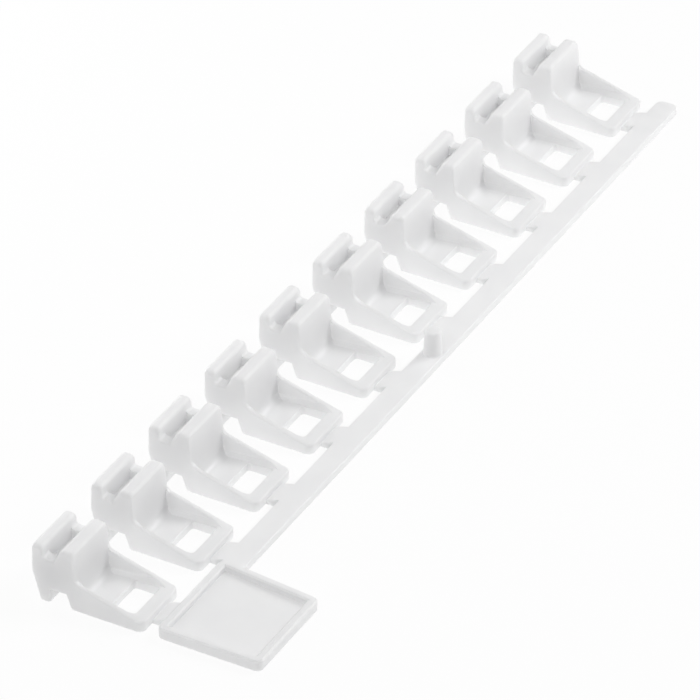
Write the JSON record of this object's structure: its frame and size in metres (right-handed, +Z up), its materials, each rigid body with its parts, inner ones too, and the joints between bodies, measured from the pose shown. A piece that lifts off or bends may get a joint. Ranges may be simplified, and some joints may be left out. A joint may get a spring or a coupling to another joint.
{
  "type": "curtain glider strip",
  "caption": "Moulded strip of small curtain gliders, each with a head flange, neck, stop plate and hook eye, joined by thin gates to a flat runner bar with a grip tab.",
  "frame": {"origin": "on the underside, in the middle of the strip's outline", "axes": "+X along the runner from the grip tab, +Y from the runner to the glider heads, +Z up"},
  "size_m": [0.1314, 0.0308, 0.0078],
  "materials": {
    "white_plastic": "satin white, as moulded"
  },
  "bodies": {
    "root": {"glider_strip": "white_plastic"}
  },
  "joints": []
}
